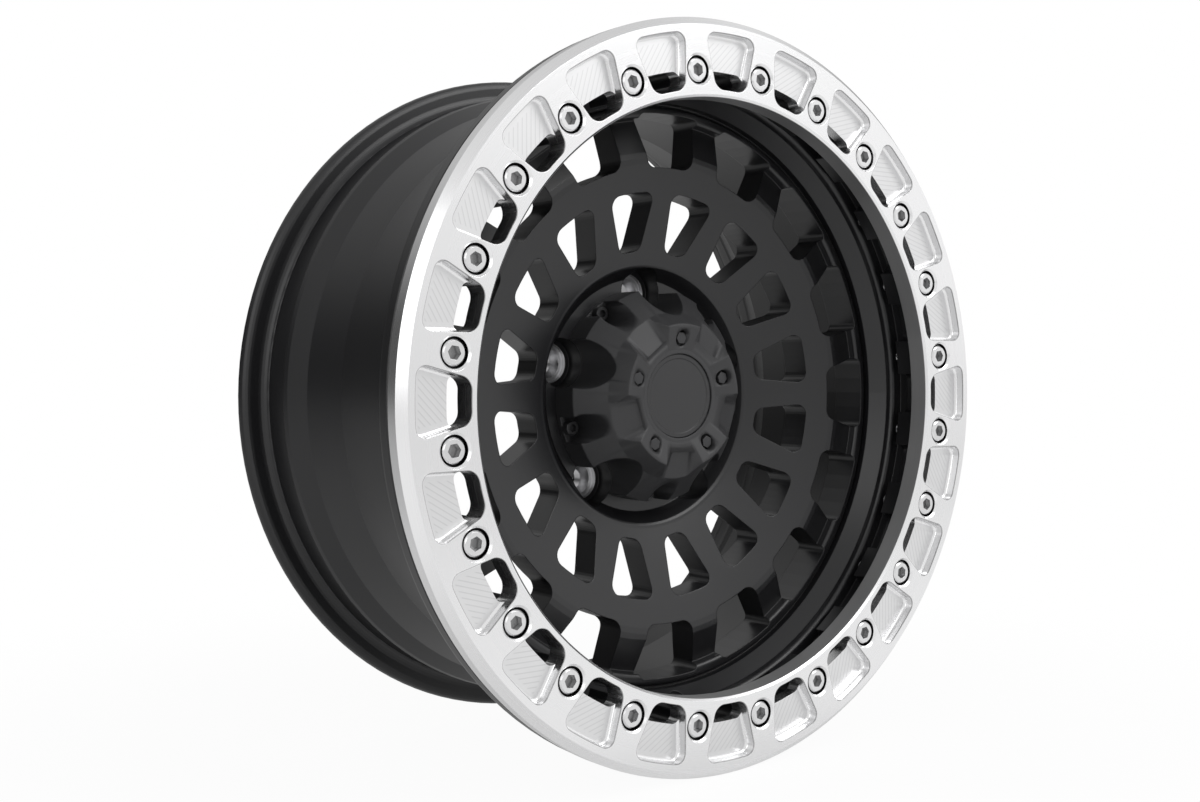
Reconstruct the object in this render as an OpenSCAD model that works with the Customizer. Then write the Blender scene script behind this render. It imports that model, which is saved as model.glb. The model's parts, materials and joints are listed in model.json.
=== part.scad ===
// Beadlock wheel: a one-piece cast wheel whose outer tyre bead is clamped by a bolted ring.
// The wheel axis is Y, the street side looks to -Y and Z is up.
// The origin is the centre of the hub mounting pad. All lengths are in millimetres.

/* [Rim] */
// Diameter of the bead seats
rim_d = 462; // [458:0.5:466]
// Width between the tyre-side faces of the two flanges
rim_w = 203.2; // [195:0.1:215]
// Height of the back flange above the bead seat
flange_h = 17.3; // [15:0.1:19]
// Distance from the rim's centre plane to the hub pad, positive towards the car
rim_offset = 0; // [-6:0.5:6]
// Thickness of the barrel wall
barrel_wall = 8; // [6:0.5:10]
// Diameter of the drop centre, on the tyre side
well_d = 427; // [424:1:432]
// Diameter of the valve hole
valve_d = 11.5; // [8:0.1:15.7]

/* [Lock flange] */
// Outer diameter of the flange that the ring is bolted to
lock_d = 511; // [507:1:511]
// Thickness of that flange from its machined face to the tyre side
lock_t = 13.8; // [12:0.1:16]
// Diameter across the inner faces of the bolt bosses
boss_bore_d = 424; // [420:1:427]
// Length of the bolt bosses behind the flange face
boss_len = 20; // [17:0.5:21]
// Gap between a scallop's sides and the ring window in front of it
scallop_gap = 0.6; // [0.2:0.1:1.5]
// Width of the undercut groove behind the bosses
undercut_w = 10; // [8:0.5:12]
// Diameter of the undercut groove
undercut_d = 452; // [450:0.5:454]

/* [Beadlock ring] */
// Outer diameter of the ring
ring_d = 512; // [508:1:520]
// Bore of the ring
ring_bore_d = 405; // [401:1:407]
// Thickness of the ring
ring_t = 16; // [15:0.5:18]
// Width of the bevel round the ring's outer edge
ring_bevel = 5.4; // [3:0.2:6]
// Number of bolts, and of pockets between them
bolt_count = 24; // [20:1:24]
// Depth of the pockets
pocket_depth = 7.1; // [5:0.1:9]
// Width of the rim left between the ring's bore and the pockets
pocket_inner_rim = 5; // [4:0.2:6]
// Width of the rim left between the pockets and the ring's outer edge
pocket_outer_rim = 10.5; // [9:0.5:12]
// Radial length of the through window in each pocket
window_len = 13.2; // [10:0.2:14]

/* [Ring bolts] */
// Diameter of the bolt circle
bolt_circle_d = 441; // [440:0.5:442]
// Nominal thread diameter
bolt_d = 10; // [8:1:10]
// Length of the bolt under its head
bolt_len = 30; // [26:0.5:32]
// Distance from the ring's face down to the bolt heads
bolt_sink = 1.3; // [0.5:0.1:2]
// Diameter of the counterbores in the ring
counterbore_d = 19.2; // [18:0.1:20]

/* [Disc] */
// Number of windows in each of the two rows
window_count = 16; // [12:1:16]
// Radius of the soft fold between the two rows
fold_r = 169; // [166:0.5:172]
// Thickness of the disc, measured along the axle
disc_t = 21; // [18:0.5:24]
// Inner end of the inner row
inner_row_r1 = 104; // [102:0.5:108]
// Outer end of the inner row
inner_row_r2 = 145.6; // [140:0.2:150]
// Half width of an inner window at its inner end
inner_row_w1 = 9.1; // [8.5:0.1:10]
// Half width of an inner window at its outer end
inner_row_w2 = 20.8; // [18:0.1:22]
// Inner end of the outer row
outer_row_r1 = 162.5; // [160:0.5:166]
// Outer end of the outer row
outer_row_r2 = 200.6; // [198:0.2:201]
// Half width of an outer window at its inner end
outer_row_w1 = 19.7; // [18:0.1:21]
// Half width of an outer window at its outer end
outer_row_w2 = 28.8; // [26:0.1:30]

/* [Hub] */
// Diameter of the centre bore
hub_bore_d = 110; // [100:0.5:112]
// Diameter of the lug circle
lug_circle_d = 150; // [146:0.5:152]
// Number of lug holes
lug_count = 5; // [5:1:5]
// Diameter of the lug holes
lug_hole_d = 15; // [13:0.5:16]
// Diameter of the lug counterbores
lug_bore_d = 35; // [32:0.5:36]
// Height of the cone seats above the hub pad
lug_seat_h = 15.4; // [12:0.2:18]
// Diameter of the hub mounting pad
pad_d = 172; // [170:1:180]
// Height of the hub well's floor above the pad
floor_h = 33.4; // [31:0.2:36]
// Radius of the hub well at its rim
well_rim_r = 94.4; // [93.5:0.2:96]

/* [Centre cap] */
// Diameter of the cap's skirt
cap_d = 153.2; // [152:0.2:160]
// Height of the cap above the well floor
cap_h = 50; // [48:0.5:54]
// Thickness of the cap's wall
cap_wall = 4.5; // [3.5:0.1:5]
// Gap between the cap's lug scoops and the lug counterbores
scoop_gap = 0.25; // [0:0.05:0.5]
// Diameter of the badge disc in the middle of the cap
badge_d = 59.4; // [56:0.2:61]
// Diameter of the circle of small bolts in the cap's face
face_bolt_circle_d = 82; // [80:0.5:84]

/* [Hidden] */
ring_bolt_names = [for (i = [1 : bolt_count]) str("ring_bolt_", i < 10 ? "0" : "", i)];
$fn = 96;
eps = 0.01;
past = 1;

// Heights above the hub pad, towards the street
mid_z = rim_offset;
front_z = mid_z + rim_w / 2;
back_z = mid_z - rim_w / 2;
lock_z = front_z + lock_t;
face_z = lock_z + ring_t;
boss_z = lock_z - boss_len;
lip_z = boss_z - undercut_w;
ridge_z = lip_z - 19.2;
fold_z = ridge_z + 1.2;
dip_z = ridge_z - 6.3;
rim_z = floor_h + 10.2;

// Radii of the rim
seat_r = rim_d / 2;
hump_r = seat_r + 1.3;
crest_r = seat_r + flange_h;
well_r = well_d / 2;
undercut_r = undercut_d / 2;
barrel_r = well_r - barrel_wall;
ridge_r = 203;
dip_r = 196;
valve_tilt = 20;

// Beadlock ring and its bolts
ring_r = ring_d / 2;
ring_bore_r = ring_bore_d / 2;
pocket_r1 = ring_bore_r + pocket_inner_rim;
pocket_r2 = ring_r - pocket_outer_rim;
pocket_w1 = 13.2;
pocket_side = 0.25;
pocket_c1 = 7;
pocket_c2 = 8;
window_c = 6;
bolt_circle_r = bolt_circle_d / 2;
bolt_pitch = 360 / bolt_count;
bolt_head_d = 1.6 * bolt_d;
bolt_hex = 0.8 * bolt_d;
bolt_clear = 0.5;
thread_clear = 0.1;
bolt_seat_z = face_z - bolt_sink - bolt_d;

// Hub
lug_circle_r = lug_circle_d / 2;
lug_pitch = 360 / lug_count;
lug_seat_r = 14;
lug_cone_r = 11.1;

// Centre cap
cap_r = cap_d / 2;
cap_z = floor_h;
cap_top = floor_h + cap_h;
cap_skirt_h = 20.3;
cap_cone_r = 59.2;
cap_cone_h = cap_h - 12.1;
cap_face_r = 50.9;
cap_dish_r = 33;
cap_dish = 5.2;
scoop_r = lug_bore_d / 2 + scoop_gap;
screw_r = cap_r - 4.7;
screw_scoop_r = 10.25;
screw_d = 6;
screw_len = 12;
foot_t = 4;
face_bolt_r = face_bolt_circle_d / 2;
face_bolt_d = 4;
face_bolt_len = 8;
badge_t = 2.4;
badge_gap = 0.25;

// General helpers

// Turns a wheel that lies face up round to the model frame
module on_axle() {
    rotate([90, 0, 0]) children();
}

// Copies its children round the axle
module around(count, first = 0) {
    for (i = [0 : count - 1])
        rotate([0, 0, first + i * 360 / count]) children();
}

function unit(v) = v / norm(v);
function arc(c, r, a1, a2, n) =
    [for (i = [0 : n]) let (a = a1 + (a2 - a1) * i / n) c + r * [cos(a), sin(a)]];
function flip(points) = [for (i = [len(points) - 1 : -1 : 0]) [points[i][0], -points[i][1]]];
// Centre of a corner circle that touches a straight side and keeps a given radius from the axle
function corner(p, dir, inward, c, r) =
    let (q = p + c * inward, b = q * dir)
    q + dir * (sqrt(b * b - q * q + r * r) - b);

// Outline of a window between two radii, with straight sides and four round corners
module window_outline(r1, r2, w1, w2, c1, c2) {
    dir = unit([r2 - r1, w2 - w1]);
    inward = [dir[1], -dir[0]];
    side_a = 90 + atan2(dir[1], dir[0]);
    inner = corner([r1, w1], dir, inward, c1, r1 + c1);
    outer = corner([r1, w1], dir, inward, c2, r2 - c2);
    inner_a = atan2(inner[1], inner[0]);
    outer_a = atan2(outer[1], outer[0]);
    half = concat(arc(inner, c1, 180 + inner_a, side_a, 6), arc(outer, c2, side_a, outer_a, 6));
    outer_end = [for (k = [1 : 3]) r2 * [cos(outer_a * (1 - k / 2)), sin(outer_a * (1 - k / 2))]];
    inner_end = [for (k = [1 : 3]) r1 * [cos(inner_a * (k / 2 - 1)), sin(inner_a * (k / 2 - 1))]];
    polygon(concat(half, outer_end, flip(half), inner_end));
}

// Half width of a ring pocket at a given radius
function pocket_w(r) = pocket_w1 + (r - pocket_r1) * pocket_side;

// Wheel casting

// Tyre side of the rim, from the lock flange's face round to the back edge
function rim_outside() =
    let (lock_r = lock_d / 2, heel = 6.5, seat_drop = 1.9)
    concat(
        [[boss_bore_d / 2, boss_z], [boss_bore_d / 2, lock_z - 1], [boss_bore_d / 2 + 1, lock_z]],
        [[lock_r - 1, lock_z], [lock_r, lock_z - 1]],
        arc([lock_r - 6, lock_z - lock_t + 6], 6, 0, -90, 5),
        arc([seat_r + heel, front_z - heel], heel, 90, 180, 5),
        [[seat_r - seat_drop, front_z - 25], [hump_r, front_z - 29], [hump_r, front_z - 32]],
        [[well_r + 2, front_z - 53], [well_r, front_z - 57]],
        [[well_r, mid_z - 22], [well_r + 9.5, mid_z - 54], [hump_r - 1, mid_z - 68]],
        [[hump_r, mid_z - 71], [hump_r, mid_z - 73], [seat_r - seat_drop, back_z + 24]],
        arc([seat_r + heel, back_z + heel], heel, 180, 270, 5),
        arc([crest_r - 5, back_z - 6], 6, 90, -60, 8),
        [[crest_r - 10, back_z - 9.5], [crest_r - 15, back_z - 5]]);

// Car side: the inside of the barrel, the back of the disc and the hub pad
function car_side() = concat(
    arc([barrel_r + 15, back_z + 18], 8, -10, 60, 4),
    [[barrel_r + 6, mid_z - 56], [barrel_r, mid_z - 24], [barrel_r, dip_z - disc_t + 2]],
    [[barrel_r - 2, dip_z - disc_t], [dip_r, dip_z - disc_t]],
    [[fold_r + 3, fold_z - disc_t - 3], [fold_r - 3, fold_z - disc_t - 2.5]],
    [[well_rim_r + 8, rim_z - disc_t + 1], [pad_d / 2 + 4, rim_z - disc_t - 6]],
    [[pad_d / 2, 1], [pad_d / 2 - 1, 0], [hub_bore_d / 2 + 1.5, 0], [hub_bore_d / 2, 1.5]]);

// Street side: the hub well, the cone-shaped disc, the ridge, the lip and the undercut
function street_side() = concat(
    [[hub_bore_d / 2, floor_h - 1.5], [hub_bore_d / 2 + 1.5, floor_h]],
    [[well_rim_r - 9.6, floor_h], [well_rim_r - 7, floor_h + 2.6], [well_rim_r - 1.6, rim_z - 1]],
    [[well_rim_r, rim_z], [well_rim_r + 2, rim_z + 0.5]],
    [[fold_r - 4, fold_z - 0.9], [fold_r, fold_z], [fold_r + 4, fold_z - 0.3], [fold_r + 8, fold_z - 1.6]],
    [[dip_r, dip_z]],
    arc([ridge_r - 3, ridge_z - 3], 3, 180, 90, 4),
    arc([ridge_r, ridge_z - 3], 3, 90, 0, 4),
    [[ridge_r + 3, ridge_z - 4], [ridge_r + 5, ridge_z - 4]],
    [[ridge_r + 5, ridge_z + 1.6], [ridge_r + 13, lip_z - 6]],
    arc([ridge_r + 17, lip_z - 4], 4, 180, 90, 4),
    [[undercut_r, lip_z], [undercut_r, boss_z]]);

// One lug hole with its cone seat and counterbore
module lug_cut() {
    cone_len = (lug_cone_r - lug_hole_d / 2) / tan(30);
    translate([lug_circle_r, 0, 0]) {
        translate([0, 0, -past]) cylinder(d = lug_hole_d, h = lug_seat_h);
        translate([0, 0, lug_seat_h - cone_len])
            cylinder(r1 = lug_hole_d / 2, r2 = lug_cone_r, h = cone_len);
        translate([0, 0, lug_seat_h - eps]) cylinder(r = lug_seat_r, h = 3 + eps);
        translate([0, 0, lug_seat_h + 3 - eps]) cylinder(d = lug_bore_d, h = floor_h);
    }
}

module wheel_casting() {
    scallop_r1 = boss_bore_d / 2 - 8;
    scallop_r2 = pocket_r1 + window_len + 1.5;
    color([0.16, 0.165, 0.17]) on_axle() difference() {
        rotate_extrude() polygon(concat(rim_outside(), car_side(), street_side()));
        // two rows of windows through the disc
        translate([0, 0, rim_z - disc_t - 10]) around(window_count, 180 / window_count)
            linear_extrude(disc_t + 60)
                window_outline(inner_row_r1, inner_row_r2, inner_row_w1, inner_row_w2, 8, 7);
        translate([0, 0, rim_z - disc_t - 10]) around(window_count)
            linear_extrude(disc_t + 60)
                window_outline(outer_row_r1, outer_row_r2, outer_row_w1, outer_row_w2, 8, 5);
        // scallops between the bolt bosses, and the tapped bolt holes
        translate([0, 0, boss_z - eps]) around(bolt_count)
            linear_extrude(boss_len + past)
                window_outline(scallop_r1, scallop_r2, pocket_w(scallop_r1) + scallop_gap,
                    pocket_w(scallop_r2) + scallop_gap, 4, window_c);
        around(bolt_count, bolt_pitch / 2) translate([bolt_circle_r, 0, boss_z - past])
            cylinder(d = bolt_d + 2 * thread_clear, h = boss_len + 2 * past);
        // lug holes, and the tapped holes of the cap screws
        around(lug_count, 90) lug_cut();
        around(lug_count, 90 + lug_pitch / 2) translate([screw_r, 0, floor_h + foot_t - screw_len - 3])
            cylinder(d = screw_d + 2 * thread_clear, h = screw_len);
        // lightening pockets in the pad, between the lug bosses
        around(lug_count, 90 + lug_pitch / 2) translate([0, 0, -past])
            linear_extrude(past + 12) window_outline(hub_bore_d / 2 + 7, pad_d / 2 - 6, 13, 18, 5, 5);
        // valve hole at the bottom, in the face behind the lock flange
        rotate([0, 0, 270]) translate([ridge_r + 10, 0, lip_z - 6]) rotate([0, -valve_tilt, 0]) {
            translate([0, 0, -34]) cylinder(d = valve_d, h = 50);
            translate([0, 0, -2]) cylinder(d = valve_d + 3, h = 20);
        }
    }
}

// Beadlock ring

module ring_section() {
    polygon([[ring_bore_r, 1], [ring_bore_r + 1, 0], [ring_r - 2, 0], [ring_r, 2],
        [ring_r, ring_t - ring_bevel], [ring_r - ring_bevel, ring_t],
        [ring_bore_r + 1.5, ring_t], [ring_bore_r, ring_t - 1.5]]);
}

// The space that one pocket and its through window take
module pocket_cut() {
    window_r = pocket_r1 + window_len;
    translate([0, 0, ring_t - pocket_depth]) linear_extrude(pocket_depth + past)
        window_outline(pocket_r1, pocket_r2, pocket_w1, pocket_w(pocket_r2), pocket_c1, pocket_c2);
    translate([0, 0, -past]) linear_extrude(ring_t)
        window_outline(pocket_r1, window_r, pocket_w1, pocket_w(window_r), pocket_c1, window_c);
}

// The space that one ring bolt takes, with the chamfer round its counterbore
module bolt_cut() {
    seat_h = bolt_seat_z - lock_z;
    chamfer = 1.4;
    translate([bolt_circle_r, 0, 0]) {
        translate([0, 0, -past]) cylinder(d = bolt_d + 2 * bolt_clear, h = ring_t);
        translate([0, 0, seat_h]) cylinder(d = counterbore_d, h = ring_t);
        translate([0, 0, ring_t - chamfer])
            cylinder(d1 = counterbore_d, d2 = counterbore_d + 4 * chamfer, h = 2 * chamfer);
    }
}

module beadlock_ring() {
    color([0.78, 0.78, 0.79]) on_axle() translate([0, 0, lock_z]) difference() {
        rotate_extrude() ring_section();
        around(bolt_count) pocket_cut();
        around(bolt_count, bolt_pitch / 2) bolt_cut();
    }
}

// Socket cap screw that hangs down from z = 0 under its head
module cap_screw(d, len, head_d, head_h, hex) {
    edge = 0.1 * d;
    difference() {
        union() {
            rotate_extrude() polygon([[0, -len], [d / 2 - edge, -len], [d / 2, -len + edge], [d / 2, 0],
                [head_d / 2, 0], [head_d / 2, head_h - edge], [head_d / 2 - edge, head_h], [0, head_h]]);
        }
        translate([0, 0, head_h / 2]) cylinder(r = hex / 2 / cos(30), h = head_h, $fn = 6);
    }
}

module ring_bolt(i) {
    color([0.6, 0.6, 0.61]) on_axle() rotate([0, 0, (i - 0.5) * bolt_pitch])
        translate([bolt_circle_r, 0, bolt_seat_z])
            cap_screw(bolt_d, bolt_len, bolt_head_d, bolt_d, bolt_hex);
}

// Centre cap

// Outer form of the cap, as heights above the well floor
module cap_section() {
    polygon([[0, 0], [cap_r, 0], [cap_r, cap_skirt_h], [cap_cone_r, cap_cone_h],
        [cap_face_r, cap_h], [cap_face_r - 2, cap_h],
        [cap_dish_r, cap_h - cap_dish], [0, cap_h - cap_dish]]);
}

// Inner form of the cap, one wall inside the outer form
module cap_hollow_section() {
    polygon([[0, -past], [cap_r - cap_wall, -past], [cap_r - cap_wall, cap_skirt_h - 2],
        [cap_cone_r - cap_wall, cap_cone_h - 4],
        [cap_face_r - cap_wall - 3, cap_h - cap_dish - cap_wall - 4],
        [0, cap_h - cap_dish - cap_wall - 4]]);
}

module centre_cap() {
    face_bolt_z = cap_h - 3.4 - face_bolt_d;
    color([0.24, 0.245, 0.25]) on_axle() translate([0, 0, cap_z]) difference() {
        rotate_extrude() cap_section();
        // hollow inside, with walls left behind the scoops
        difference() {
            rotate_extrude() cap_hollow_section();
            around(lug_count, 90) translate([lug_circle_r, 0, -2 * past])
                cylinder(r = scoop_r + cap_wall, h = cap_h);
            around(lug_count, 90 + lug_pitch / 2) translate([screw_r, 0, -2 * past])
                cylinder(r = screw_scoop_r + cap_wall, h = cap_h);
            around(lug_count, 90) translate([face_bolt_r, 0, face_bolt_z - face_bolt_len - 1])
                cylinder(d = face_bolt_d + 6, h = cap_h);
        }
        // lug scoops, and the scoops with a foot for the cap screws
        around(lug_count, 90) translate([lug_circle_r, 0, -past]) cylinder(r = scoop_r, h = cap_h);
        around(lug_count, 90 + lug_pitch / 2) translate([screw_r, 0, 0]) {
            translate([0, 0, foot_t]) cylinder(r = screw_scoop_r, h = cap_h);
            translate([0, 0, -past]) cylinder(d = screw_d + 0.6, h = cap_h);
        }
        // notches over the edge of the face
        around(lug_count, 90 + lug_pitch / 2) translate([cap_face_r - 10.5, 0, cap_h - 4])
            rotate([0, 12, 0]) translate([0, -11, 0]) cube([30, 22, 20]);
        // recess of the badge, and the counterbored holes of the face bolts
        translate([0, 0, cap_h - cap_dish - badge_t - 1]) cylinder(d = badge_d + 2 * badge_gap, h = 20);
        around(lug_count, 90) translate([face_bolt_r, 0, face_bolt_z]) {
            cylinder(d = 9.4, h = 20);
            translate([0, 0, -face_bolt_len]) cylinder(d = face_bolt_d + 2 * thread_clear, h = 20);
        }
    }
}

module cap_badge() {
    color([0.3, 0.3, 0.31]) on_axle() translate([0, 0, cap_top - cap_dish - badge_t - 1])
        rotate_extrude() polygon([[0, 0], [badge_d / 2, 0], [badge_d / 2, badge_t - 0.4],
            [badge_d / 2 - 0.4, badge_t], [badge_d / 2 - 3, badge_t], [badge_d / 2 - 3.6, badge_t - 0.6],
            [0, badge_t - 0.6]]);
}

module cap_face_bolt(i) {
    color([0.5, 0.5, 0.51]) on_axle() rotate([0, 0, 90 + (i - 1) * lug_pitch])
        translate([face_bolt_r, 0, cap_top - 3.4 - face_bolt_d])
            cap_screw(face_bolt_d, face_bolt_len - 1, 7, face_bolt_d, 3);
}

module cap_foot_screw(i) {
    color([0.2, 0.2, 0.2]) on_axle() rotate([0, 0, 90 + (i - 0.5) * lug_pitch])
        translate([screw_r, 0, cap_z + foot_t])
            cap_screw(screw_d, screw_len, 10, screw_d, 5);
}

wheel_casting();
beadlock_ring();
for (i = [1 : bolt_count])
    ring_bolt(i);
centre_cap();
cap_badge();
for (i = [1 : lug_count])
    cap_face_bolt(i);
for (i = [1 : lug_count])
    cap_foot_screw(i);
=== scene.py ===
"""Looks of a beadlock wheel: bare machined ring, satin black casting, matte cap, on a pale studio floor.

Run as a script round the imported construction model. All lengths are in metres, in the model's own
frame: the wheel axis is Y, the street side looks to -Y, Z is up, and the hub pad is at the origin.
"""

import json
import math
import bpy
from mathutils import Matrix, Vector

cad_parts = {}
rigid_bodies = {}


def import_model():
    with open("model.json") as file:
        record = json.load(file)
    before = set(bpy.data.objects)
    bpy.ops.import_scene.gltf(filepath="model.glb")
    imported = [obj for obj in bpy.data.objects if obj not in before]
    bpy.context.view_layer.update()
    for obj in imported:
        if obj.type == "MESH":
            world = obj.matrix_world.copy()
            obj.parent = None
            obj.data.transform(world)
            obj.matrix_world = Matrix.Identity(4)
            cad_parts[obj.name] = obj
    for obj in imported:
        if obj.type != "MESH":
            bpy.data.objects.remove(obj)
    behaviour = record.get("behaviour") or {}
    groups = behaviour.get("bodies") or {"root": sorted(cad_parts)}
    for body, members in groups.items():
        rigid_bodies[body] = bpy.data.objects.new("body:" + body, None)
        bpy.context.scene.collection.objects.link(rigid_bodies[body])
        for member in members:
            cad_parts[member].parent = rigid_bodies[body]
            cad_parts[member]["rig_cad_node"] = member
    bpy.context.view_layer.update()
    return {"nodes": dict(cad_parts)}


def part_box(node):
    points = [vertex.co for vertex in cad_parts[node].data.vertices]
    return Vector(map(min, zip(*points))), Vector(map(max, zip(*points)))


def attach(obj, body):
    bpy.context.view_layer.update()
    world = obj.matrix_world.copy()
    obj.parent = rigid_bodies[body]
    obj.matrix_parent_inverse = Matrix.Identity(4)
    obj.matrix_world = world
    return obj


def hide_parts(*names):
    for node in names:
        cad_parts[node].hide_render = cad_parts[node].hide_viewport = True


bl_info = {
    "name": "Beadlock wheel looks",
    "version": (1, 0, 0),
    "blender": (4, 5, 0),
    "location": "3D View > Sidebar > Wheel",
    "description": "Gives a beadlock wheel its machined ring, its finishes and a studio to stand in",
    "category": "Object",
}

import bpy
from mathutils import Matrix, Vector

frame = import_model()

MM = 0.001
BODY = "root"
NODES = frame["nodes"]
RING_LOW, RING_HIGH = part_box("beadlock_ring")
CASTING_LOW, CASTING_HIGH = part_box("wheel_casting")
FACE_Y = RING_LOW[1]
SEAT_Y = RING_HIGH[1]
FLOOR_Z = RING_LOW[2]


# Sizes and colours that a user may change


class WheelSizes(bpy.types.PropertyGroup):
    """Sizes of the machined ring and of the surface detail"""

    ring_bore: bpy.props.FloatProperty(
        name="Ring bore", description="Radius of the ring's bore",
        default=202.5 * MM, unit="LENGTH")
    ring_bevel: bpy.props.FloatProperty(
        name="Outer bevel", description="Width of the bevel round the ring's outer edge",
        default=5.4 * MM, unit="LENGTH")
    bore_bevel: bpy.props.FloatProperty(
        name="Bore bevel", description="Width of the bevel at the ring's bore",
        default=1.5 * MM, unit="LENGTH")
    bolt_count: bpy.props.IntProperty(
        name="Bolts", description="Number of bolts, and of pockets between them", default=24)
    bolt_circle: bpy.props.FloatProperty(
        name="Bolt circle", description="Radius of the circle that the ring bolts stand on",
        default=220.5 * MM, unit="LENGTH")
    counterbore: bpy.props.FloatProperty(
        name="Counterbore", description="Radius of the counterbores for the bolt heads",
        default=9.6 * MM, unit="LENGTH")
    counterbore_chamfer: bpy.props.FloatProperty(
        name="Counterbore chamfer", description="Chamfer round each counterbore",
        default=1.4 * MM, unit="LENGTH")
    bolt_hole: bpy.props.FloatProperty(
        name="Bolt hole", description="Radius of the bolt holes through the ring",
        default=5.5 * MM, unit="LENGTH")
    bolt_seat: bpy.props.FloatProperty(
        name="Bolt seat", description="Depth of the counterbores under the ring's face",
        default=11.3 * MM, unit="LENGTH")
    pocket_depth: bpy.props.FloatProperty(
        name="Pocket depth", description="Depth of the pockets in the ring",
        default=7.1 * MM, unit="LENGTH")
    pocket_inner: bpy.props.FloatProperty(
        name="Pocket inner end", description="Radius of the inner end of each pocket",
        default=207.5 * MM, unit="LENGTH")
    pocket_outer: bpy.props.FloatProperty(
        name="Pocket outer end", description="Radius of the outer end of each pocket",
        default=245.5 * MM, unit="LENGTH")
    pocket_half: bpy.props.FloatProperty(
        name="Pocket half width", description="Half width of a pocket at its inner end",
        default=13.2 * MM, unit="LENGTH")
    pocket_side: bpy.props.FloatProperty(
        name="Pocket side slope", description="How fast the half width grows with the radius",
        default=0.25)
    pocket_fillet: bpy.props.FloatProperty(
        name="Pocket fillet", description="Radius of the fillet round the floor of a pocket",
        default=2.6 * MM, unit="LENGTH")
    window_outer: bpy.props.FloatProperty(
        name="Window outer end", description="Radius of the outer end of the window in each pocket",
        default=220.7 * MM, unit="LENGTH")
    edge_break: bpy.props.FloatProperty(
        name="Edge break", description="Small chamfer on the machined edges of the ring",
        default=0.7 * MM, unit="LENGTH")
    casting_edge: bpy.props.FloatProperty(
        name="Casting edge", description="Radius that softens the edges of the painted casting",
        default=1.1 * MM, unit="LENGTH")
    lug_circle: bpy.props.FloatProperty(
        name="Lug circle", description="Radius of the circle that the lug holes stand on",
        default=75 * MM, unit="LENGTH")
    lug_seat: bpy.props.FloatProperty(
        name="Lug seat", description="Radius of the bare machined seat in each lug hole",
        default=14.2 * MM, unit="LENGTH")
    notch_inner: bpy.props.FloatProperty(
        name="Notch inner end", description="Radius where each notch of the cap's face begins",
        default=39.6 * MM, unit="LENGTH")
    notch_outer: bpy.props.FloatProperty(
        name="Notch outer end", description="Radius just past the cap's cone, where each notch ends",
        default=62 * MM, unit="LENGTH")
    notch_half: bpy.props.FloatProperty(
        name="Notch half width", description="Half width of a notch's floor at its inner end",
        default=10.4 * MM, unit="LENGTH")
    face_recess: bpy.props.FloatProperty(
        name="Face bolt recess", description="Radius of the recess round each bolt of the cap's face",
        default=5.9 * MM, unit="LENGTH")
    face_bolt_circle: bpy.props.FloatProperty(
        name="Face bolt circle", description="Radius of the circle that the cap's face bolts stand on",
        default=41 * MM, unit="LENGTH")
    face_hexagon: bpy.props.FloatProperty(
        name="Face bolt hexagon", description="Width across flats of the cap's face bolts",
        default=8 * MM, unit="LENGTH")


class WheelColours(bpy.types.PropertyGroup):
    """Colours of the finishes"""

    casting: bpy.props.FloatVectorProperty(
        name="Casting", description="Powder coat of the casting", subtype="COLOR",
        default=(0.010, 0.010, 0.0112), min=0, max=1)
    ring: bpy.props.FloatVectorProperty(
        name="Ring", description="Bare aluminium of the ring", subtype="COLOR",
        default=(0.82, 0.82, 0.825), min=0, max=1)
    bolt: bpy.props.FloatVectorProperty(
        name="Bolts", description="Stainless steel of the ring bolts", subtype="COLOR",
        default=(0.72, 0.72, 0.725), min=0, max=1)
    seat: bpy.props.FloatVectorProperty(
        name="Lug seats", description="Bare machined lug seats", subtype="COLOR",
        default=(0.6, 0.6, 0.61), min=0, max=1)
    cap: bpy.props.FloatVectorProperty(
        name="Cap", description="Matte moulded centre cap", subtype="COLOR",
        default=(0.032, 0.032, 0.0338), min=0, max=1)
    screw: bpy.props.FloatVectorProperty(
        name="Cap screws", description="Blackened steel of the cap's screws", subtype="COLOR",
        default=(0.05, 0.05, 0.052), min=0, max=1)


def sizes():
    return bpy.context.scene.wheel_sizes


def colours():
    return bpy.context.scene.wheel_colours


# Modelling helpers


def deselect():
    """Leaves edit mode with nothing selected"""
    if bpy.context.object and bpy.context.object.mode != "OBJECT":
        bpy.ops.object.mode_set(mode="OBJECT")
    bpy.ops.object.select_all(action="DESELECT")


def activate(piece):
    """Selects one object alone and makes it active"""
    deselect()
    piece.select_set(True)
    bpy.context.view_layer.objects.active = piece


def pick(piece, mode, test):
    """Selects the vertices, edges or faces that pass a test on their vertices' places"""
    bpy.ops.object.mode_set(mode="EDIT")
    bpy.ops.mesh.select_mode(type=mode)
    bpy.ops.mesh.select_all(action="DESELECT")
    bpy.ops.object.mode_set(mode="OBJECT")
    mesh = piece.data
    parts = {"VERT": mesh.vertices, "EDGE": mesh.edges, "FACE": mesh.polygons}[mode]
    for part in parts:
        if mode == "VERT":
            points = [part.co]
        else:
            points = [mesh.vertices[i].co for i in part.vertices]
        part.select = test(points)
    bpy.ops.object.mode_set(mode="EDIT")


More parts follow.
